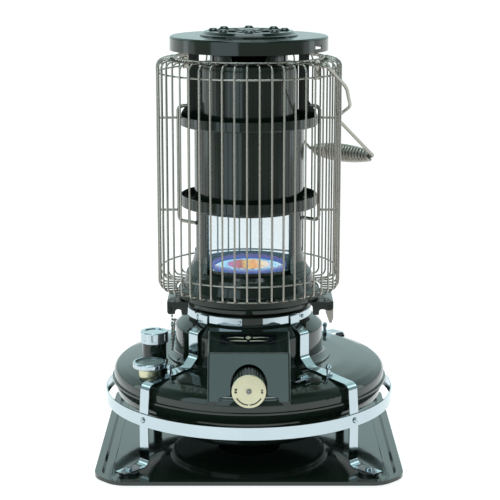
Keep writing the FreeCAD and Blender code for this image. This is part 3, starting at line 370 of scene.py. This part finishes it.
def knob_marks():
    """Arcs and ticks on the knob's plate, as thin inlays that stand just proud of it."""

    def place(a, b, depth):
        inwards = (depth * INLAY_THICK - INLAY_PROUD) * MM
        return Vector((a * MM, PLATE_FRONT + inwards, KNOB_AXIS[2] + b * MM))

    def arc(start, end, inner, outer, count=28):
        angles = [math.radians(start + (end - start) * i / count) for i in range(count + 1)]
        ring = [(outer * math.cos(a), outer * math.sin(a)) for a in angles]
        return ring + [(inner * math.cos(a), inner * math.sin(a)) for a in reversed(angles)]

    parts = [prism(arc(start, end, ARC_INNER, ARC_OUTER), place) for start, end in KNOB_ARCS]
    for angle, wide, tall in KNOB_TICKS:
        x = TICK_R * math.cos(math.radians(angle))
        z = TICK_R * math.sin(math.radians(angle))
        box = [(x - wide / 2, z - tall / 2), (x + wide / 2, z - tall / 2),
               (x + wide / 2, z + tall / 2), (x - wide / 2, z + tall / 2)]
        parts.append(prism(box, place))
    verts, faces = joined(parts)
    make("knob_inlay", verts, faces, "dark_mark", "knob", False)


def badge_ornament():
    """A plain lozenge between tapering lines on the name-plate panel."""
    low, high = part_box("badge_plate")
    slope = math.atan2(high[2] - low[2] - 0.0008, high[1] - low[1])
    middle = Vector(((low[0] + high[0]) / 2, (low[1] + high[1]) / 2, (low[2] + high[2]) / 2))
    up = Vector((0, math.cos(slope), math.sin(slope)))
    out = Vector((0, -math.sin(slope), math.cos(slope)))

    def place(a, b, depth):
        return middle + Vector((a * MM, 0, 0)) + up * b * MM + out * (0.00030 + 0.0003 * depth)

    parts = [prism(LOZENGE, place)]
    for side in (-1, 1):
        for leaf in (UPPER_LEAF, LOWER_LEAF):
            parts.append(prism([(side * a, b) for a, b in leaf], place))
    verts, faces = joined(parts)
    make("badge_ornament", verts, faces, "ornament_gold", "base", False)


def gauge_marks():
    """Scale ticks and a low-fuel band on the gauge's dial."""
    low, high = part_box("gauge_dial")
    cx, cy = (low[0] + high[0]) / 2, (low[1] + high[1]) / 2

    def place(a, b, depth):
        return Vector((cx + a * MM, cy + b * MM, high[2] + 0.00015 * depth))

    ticks = []
    for k in range(DIAL_TICKS):
        a = math.radians(DIAL_START + DIAL_SWEEP * k / (DIAL_TICKS - 1))
        u, w = (math.cos(a), math.sin(a)), (-math.sin(a), math.cos(a))
        inner = 12.5 if k % 4 == 0 else 14.5
        corners = ((inner, -0.4), (18, -0.4), (18, 0.4), (inner, 0.4))
        ticks.append(prism([(u[0] * r + w[0] * s, u[1] * r + w[1] * s) for r, s in corners], place))
    verts, faces = joined(ticks)
    make("gauge_ticks", verts, faces, "dark_mark", "base", False)
    angles = [math.radians(DIAL_START + LOW_SWEEP * i / 6) for i in range(7)]
    ring = [(LOW_OUTER * math.cos(a), LOW_OUTER * math.sin(a)) for a in angles]
    ring += [(LOW_INNER * math.cos(a), LOW_INNER * math.sin(a)) for a in reversed(angles)]
    verts, faces = prism(ring, place)
    make("gauge_low_band", verts, faces, "signal_red", "base", False)


# ------------------------------------------------------------------ flame
FLAME_LOW, FLAME_HIGH = 0.2300, 0.2435
WALL_ROWS = ((46.0, 230.6), (48.2, 233), (49.2, 236), (49.0, 239), (47.8, 242))
SWIRL_ROWS = ((48.0, 231.5), (46.5, 234.4), (43.0, 236.4), (38.0, 237.6), (32.5, 237.9), (28.0, 238.0))
DISC_R, DISC_LOW, DISC_RISE = 29.0, 238.2, 3.0


def flame_material(name, strength, tone, s, fade=None):
    s.bsdf.inputs["Emission Strength"].default_value = strength
    dark = s.mix(0.9, tone, (0.01, 0.01, 0.02))
    s.put(Emission_Color=tone, Base_Color=dark, Roughness=s.span(s.noise(90, 3), 0.5, 0.7))
    if fade:
        s.put(Alpha=fade)
    MATS[name] = s.mat


def streaks(s):
    """Thin rings round the burner, bent by noise."""
    bend = s.span(s.noise(60, 3, 0.6), 0, 22.0)
    bent = s.maths("ADD", s.maths("MULTIPLY", s.around(), 1900.0), bend)
    return s.span(s.maths("SINE", bent), 0.0, 1.0, -1.0, 1.0)


def flame_colours():
    """Violet wall, cyan swirl and the glowing spreader, all from plain noise and position."""
    s = Shader("flame_wall", Specular_IOR_Level=0.1)
    height = s.maths("ADD", s.span(s.axis("Z"), 0, 1, FLAME_LOW, FLAME_HIGH),
                     s.span(s.noise(150, 3), -0.2, 0.2))
    tone = s.ramp(height, (0.0, (0.03, 0.05, 0.22)), (0.45, (0.05, 0.09, 0.42)),
                  (0.75, (0.16, 0.09, 0.40)), (1.0, (0.30, 0.16, 0.42)))
    fade = s.span(s.axis("Z"), 0.95, 0.35, 0.238, FLAME_HIGH)
    flame_material("flame_wall", 0.8, tone, s, fade)

    s = Shader("flame_swirl", Specular_IOR_Level=0.1)
    swirl = s.noise(70, 4, 0.6, s.mapped(scale=(1, 1, 2.2)))
    edge = s.span(s.maths("ABSOLUTE", s.axis("X")), 0, 0.30, 0.030, 0.047)
    swirl = s.mix(0.38, swirl, streaks(s))
    tone = s.ramp(s.maths("ADD", swirl, edge), (0.22, (0.03, 0.10, 0.50)), (0.34, (0.06, 0.34, 0.80)),
                  (0.46, (0.20, 0.66, 0.92)), (0.62, (0.55, 0.88, 1.0)), (0.85, (0.90, 0.97, 1.0)))
    flame_material("flame_swirl", 1.0, tone, s)

    s = Shader("flame_core", Specular_IOR_Level=0.1)
    across = s.maths("ADD", s.span(s.axis("X"), 0, 1, -0.029, 0.029),
                     s.span(s.noise(95, 4, 0.6), -0.14, 0.14))
    tone = s.ramp(across, (0.0, (0.40, 0.22, 0.62)), (0.16, (0.62, 0.16, 0.30)),
                  (0.32, (0.42, 0.12, 0.05)), (0.46, (0.95, 0.66, 0.18)), (0.62, (0.92, 0.40, 0.08)),
                  (0.80, (1.0, 0.86, 0.55)), (1.0, (0.90, 0.80, 0.90)))
    veins = s.noise(420, 3, 0.7, s.mapped(scale=(0.35, 1, 1)))
    tone = s.mix(s.span(veins, 0.0, 0.75, 0.50, 0.66), tone, (0.42, 0.12, 0.16))
    flame_material("flame_core", 1.0, tone, s)


def ring_band(name, profile, ripple, material, count=144):
    """Surface of revolution through (radius, height) rows, rippled round its edge."""
    verts, faces = [], []
    for row, (radius, height) in enumerate(profile):
        share = row / (len(profile) - 1)
        for k in range(count):
            az = 360 * k / count
            lick = math.sin(math.radians(az * 24)) * math.sin(math.radians(az * 5 + 40))
            verts.append(polar(radius, az, height + ripple * share * lick))
    for row in range(len(profile) - 1):
        for k in range(count):
            n = (k + 1) % count
            faces.append((row * count + k, row * count + n, (row + 1) * count + n, (row + 1) * count + k))
    make(name, verts, faces, material, "base")


def flame():
    """Blue wall of flame above the wick, the swirl inside it and the glowing spreader."""
    flame_colours()
    ring_band("flame_wall", WALL_ROWS, 1.1, "flame_wall")
    ring_band("flame_swirl", SWIRL_ROWS, 0.7, "flame_swirl")
    verts, faces = [polar(0, 0, DISC_LOW + DISC_RISE)], []
    rings, around = 10, 72
    for row in range(1, rings + 1):
        t = row / rings
        for k in range(around):
            az = 360 * k / around
            wave = 0.5 * math.sin(math.radians(az * 9 + row * 40)) * t
            verts.append(polar(DISC_R * t, az, DISC_LOW + wave + DISC_RISE * (1 - t * t)))
    faces += [(0, 1 + k, 1 + (k + 1) % around) for k in range(around)]
    for row in range(rings - 1):
        for k in range(around):
            n = (k + 1) % around
            a, b = 1 + row * around, 1 + (row + 1) * around
            faces.append((a + k, b + k, b + n, a + n))
    make("flame_disc", verts, faces, "flame_core", "base")


# ------------------------------------------------------------------ stage, light, camera
FLOOR_HALF, FLOOR_Z, FLOOR_GLOW = 16.0, -0.0003, 0.92
POOL_DARK, POOL_LIGHT, POOL_GLOW = -0.95, -0.44, (0.98, 1.0, 1.0)
EYE, EYE_DOWN, LENS, SHIFT = (0.0, -2.002, 0.684), 12.03, 111.0, 0.0022
WALL_BY_HEIGHT = ((0.0, (0.52, 0.68, 0.68)), (0.30, (0.80, 1.06, 1.06)), (0.66, (0.62, 0.86, 0.84)),
                  (0.90, (0.09, 0.13, 0.12)))
WALL_BY_DEPTH = ((0.0, (0.20, 0.21, 0.22)), (0.45, (0.22, 0.23, 0.24)), (0.72, (1.0, 1.0, 1.0)),
                 (1.0, (1.0, 1.0, 1.0)))


def plain_floor():
    """Pale floor in a wide painted pool of light: its colour and glow are painted on, and it is dimmer in
    front, beyond the picture.
    """
    mesh = bpy.data.meshes.new("floor")
    corners = [(x * FLOOR_HALF, y * FLOOR_HALF, 0) for x, y in ((-1, -1), (1, -1), (1, 1), (-1, 1))]
    mesh.from_pydata(corners, [], [(0, 1, 2, 3)])
    floor = bpy.data.objects.new("floor", mesh)
    bpy.context.collection.objects.link(floor)
    s = Shader("floor_paper", Roughness=0.9, Specular_IOR_Level=0.1)
    # painted pool of light: colour and glow ramp along Y, from painted shade in front to a bright glow
    # behind
    pool = s.span(s.axis("Y"), 0.30, 1.0, POOL_DARK, POOL_LIGHT)
    s.put(Base_Color=s.mix(pool, (0.10, 0.10, 0.10), (0.42, 0.42, 0.42)),
          Emission_Color=s.mix(pool, (0.01, 0.01, 0.01), POOL_GLOW))
    s.bsdf.inputs["Emission Strength"].default_value = FLOOR_GLOW
    mesh.materials.append(s.mat)
    floor.location.z = FLOOR_Z


def soft_world():
    """Dim room, with a pale wall low down behind the heater."""
    world = bpy.data.worlds.new("studio")
    bpy.context.scene.world = world
    world.use_nodes = True
    tree = world.node_tree
    back = tree.nodes["Background"]
    coords = tree.nodes.new("ShaderNodeTexCoord")
    split = tree.nodes.new("ShaderNodeSeparateXYZ")
    tree.links.new(coords.outputs["Generated"], split.inputs[0])

    def ramp(axis, low, stops):
        spread = tree.nodes.new("ShaderNodeMapRange")
        spread.inputs["From Min"].default_value = low
        node = tree.nodes.new("ShaderNodeValToRGB")
        band = node.color_ramp
        while len(band.elements) < len(stops):
            band.elements.new(0.5)
        for element, (place, color) in zip(band.elements, stops):
            element.position, element.color = place, (*color, 1)
        tree.links.new(split.outputs[axis], spread.inputs["Value"])
        tree.links.new(spread.outputs["Result"], node.inputs["Fac"])
        return node.outputs["Color"]

    height = ramp("Z", 0.0, WALL_BY_HEIGHT)
    depth = ramp("Y", -1.0, WALL_BY_DEPTH)
    both = tree.nodes.new("ShaderNodeMix")
    both.data_type, both.blend_type = "RGBA", "MULTIPLY"
    both.inputs[0].default_value = 1.0
    tree.links.new(height, both.inputs[6])
    tree.links.new(depth, both.inputs[7])
    tree.links.new(both.outputs[2], back.inputs["Color"])
    back.inputs["Strength"].default_value = 1.0


def softbox(name, place, aim, wide, tall, radiance, tint):
    data = bpy.data.lights.new(name, "AREA")
    data.shape = "RECTANGLE"
    data.size, data.size_y = wide, tall
    data.energy = radiance * math.pi * wide * tall
    data.color = tint
    lamp = bpy.data.objects.new(name, data)
    lamp.location = place
    lamp.rotation_euler = (Vector(aim) - Vector(place)).to_track_quat("-Z", "Y").to_euler()
    bpy.context.collection.objects.link(lamp)


def camera():
    data = bpy.data.cameras.new("camera")
    data.sensor_width = 36.0
    data.lens = LENS
    data.shift_x = SHIFT
    data.clip_end = 100.0
    eye = bpy.data.objects.new("camera", data)
    eye.location = EYE
    eye.rotation_euler = (math.radians(90 - EYE_DOWN), 0.0, 0.0)
    bpy.context.collection.objects.link(eye)
    bpy.context.scene.camera = eye


grip_spring()
knob_marks()
badge_ornament()
gauge_marks()
flame()
plain_floor()
soft_world()
softbox("overhead_front", (0.0, -1.08, 1.76), (0, -0.1, 0.15), 1.3, 0.66, 2.1, (0.68, 0.95, 0.98))
softbox("overhead", (0.0, 0.0, 2.3), (0, 0, 0.15), 1.2, 0.7, 4.5, (0.80, 0.96, 1.0))
softbox("front_left", (-0.66, -0.97, 0.62), (0, 0, 0.55), 0.84, 1.15, 1.35, (0.72, 0.92, 1.0))
for strip, side in (("right_strip", 1), ("left_strip", -1)):
    softbox(strip, (side * 1.9, 0.35, 0.8), (0, 0, 0.3), 0.40, 1.5, 1.3, (0.76, 0.96, 0.98))
camera()
bpy.context.scene.view_settings.view_transform = "Standard"
